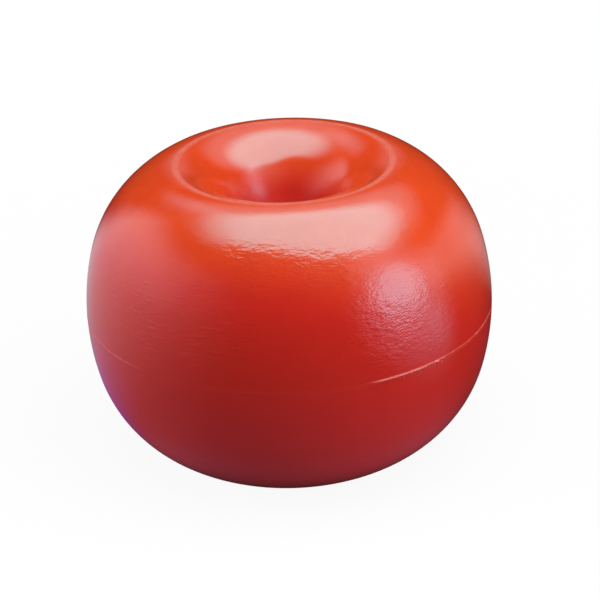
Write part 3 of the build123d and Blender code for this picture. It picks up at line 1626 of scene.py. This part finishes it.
@dataclass(frozen=True)
class Lamp:
    """Area lamp that lights the float's own colour, aimed at its middle."""

    name: str
    bearing: float
    elevation: float
    distance: float
    width: float
    depth: float
    power: float
    tint: Colour = WHITE

    def build(self, target: Vector) -> None:
        """Hang the lamp.

        Args:
            target: Point that it is aimed at.
        """
        data = bpy.data.lights.new(self.name, "AREA")
        data.shape = "RECTANGLE"
        data.size = self.width
        data.size_y = self.depth
        data.energy = self.power
        data.color = self.tint
        lamp = linked(self.name, data)
        bearing = math.radians(self.bearing)
        rise = math.radians(self.elevation)
        away = Vector(
            (math.sin(bearing) * math.cos(rise), -math.cos(bearing) * math.cos(rise), math.sin(rise))
        )
        lamp.location = target + away * self.distance
        lamp.rotation_euler = away.to_track_quat("Z", "Y").to_euler()
        lamp.visible_glossy = False
        lamp.visible_camera = False


@dataclass
class Studio:
    """Pale floor, white surroundings, lamps and the dome."""

    floor_side: float = 7.0
    floor_paint: Colour = (0.92, 0.92, 0.92)
    floor_bounce: Colour = (0.22, 0.21, 0.23)
    floor_white: float = 0.93
    shadow_reach: Band = (0.16, 0.50)
    bore_shade: float = 0.25
    bore_reach: Band = (0.030, 0.050)
    ambient: Colour = (0.02, 0.02, 0.02)
    lamps: tuple[Lamp, ...] = (
        Lamp("key_softbox", 55.0, 62.0, 1.2, 1.35, 1.0, 9.8),
        Lamp("overhead_softbox", 0.0, 84.0, 1.2, 1.0, 1.0, 6.8),
        Lamp("left_softbox", -94.0, 17.0, 1.3, 1.2, 0.6, 10.4),
        Lamp("right_softbox", 60.0, 12.0, 1.3, 1.0, 0.45, 6.8),
    )
    dome: StudioDome = field(default_factory=StudioDome)
    top: TopBox = field(default_factory=TopBox)

    def build(self, target: Vector) -> None:
        """Set the stage.

        Args:
            target: Point that the lamps are aimed at.
        """
        self.floor()
        self.world()
        for lamp in self.lamps:
            lamp.build(target)
        self.dome.build()
        self.top.build()
        LOG.info("studio: floor, world, %d lamps, dome, overhead box", len(self.lamps))

    @staticmethod
    def seen(graph: Graph) -> Signal:
        """Tell the rays that show the background from those that light.

        Args:
            graph: Graph of the floor's material or the world.

        Returns:
            One for rays from the camera, in gloss and through glass, and zero for others.
        """
        camera = graph.node("ShaderNodeLightPath", output="Is Camera Ray")
        shown = camera + camera.sibling("Is Glossy Ray") + camera.sibling("Is Transmission Ray")
        return graph.math("MINIMUM", shown, 1.0)

    def floor(self) -> None:
        """Lay a pale floor that looks white, keeps the float's shadow and lies dark under its bore."""
        material, graph = new_material("studio_floor_paint")
        seen = self.seen(graph)
        colour = graph.blend(seen, self.floor_bounce, self.floor_paint)
        paint = graph.node("ShaderNodeBsdfDiffuse", {}, {"Color": colour})
        white = graph.node("ShaderNodeEmission", {}, {"Color": (*WHITE, 1.0), "Strength": 1.0})
        away = graph.vector("LENGTH", object_coordinates(graph), output="Value")
        share = seen * away.rise(*self.shadow_reach, self.floor_white, 1.0)
        share = share * away.rise(*self.bore_reach, self.bore_shade, 1.0)
        end_material(graph.node("ShaderNodeMixShader", {}, {0: share, 1: paint, 2: white}))
        floor = flat_panel("studio_floor", self.floor_side, 0.0, material)

    def world(self) -> None:
        """Make the world white where it shows and a soft fill where it lights."""
        world = bpy.data.worlds.new("studio_world")
        bpy.context.scene.world = world
        world.use_nodes = True
        world.node_tree.nodes.clear()
        graph = Graph(world.node_tree)
        colour = graph.blend(self.seen(graph), self.ambient, WHITE)
        shader = graph.node("ShaderNodeBackground", {}, {"Color": colour, "Strength": 1.0})
        graph.node("ShaderNodeOutputWorld", {}, {"Surface": shader})


@dataclass(frozen=True)
class PhotoCamera:
    """Camera that sees the float as the photograph does."""

    target: Place = (0.0, 0.0, 0.074)
    elevation: float = 25.68
    distance: float = 1.25
    focal_pixels: float = 2525.6
    sensor_width: float = 36.0
    target_pixel: Point = (289.3, 299.0)
    roll: float = -2.3

    def build(self) -> None:
        """Place the camera and make it the scene's own."""
        rise = math.radians(self.elevation)
        forward = Vector((0.0, math.cos(rise), -math.sin(rise)))
        level = Vector((1.0, 0.0, 0.0))
        upright = level.cross(forward)
        roll = math.radians(self.roll)
        right = level * math.cos(roll) + upright * math.sin(roll)
        up = upright * math.cos(roll) - level * math.sin(roll)
        place = Vector(self.target) - forward * self.distance
        across = (PHOTO_SIDE / 2 - self.target_pixel[0]) / self.focal_pixels
        down = (PHOTO_SIDE / 2 - self.target_pixel[1]) / self.focal_pixels
        aim = (forward + right * across - up * down).normalized()
        right = aim.cross(up).normalized()
        up = right.cross(aim)
        data = bpy.data.cameras.new("photo_camera")
        data.sensor_width = self.sensor_width
        data.lens = self.focal_pixels * data.sensor_width / PHOTO_SIDE
        camera = linked("photo_camera", data)
        turn = Matrix((right, up, -aim)).transposed()
        camera.matrix_world = Matrix.Translation(place) @ turn.to_4x4()
        bpy.context.scene.camera = camera


def main() -> None:
    """Build the camera, the pieces and the studio in order."""
    logging.basicConfig(level=logging.INFO, format="%(name)s: %(message)s")
    bpy.context.scene.view_settings.view_transform = "Standard"
    camera = PhotoCamera()
    camera.build()
    plastic = MouldedPlastic().material()
    weld = TrimmedWeld().material()
    for half in Half:
        FloatShell(half).build(plastic)
    SeamBead().build(weld)
    BoreBead().dress(weld)
    Studio().build(Vector(camera.target))


if __name__ == "__main__":
    main()
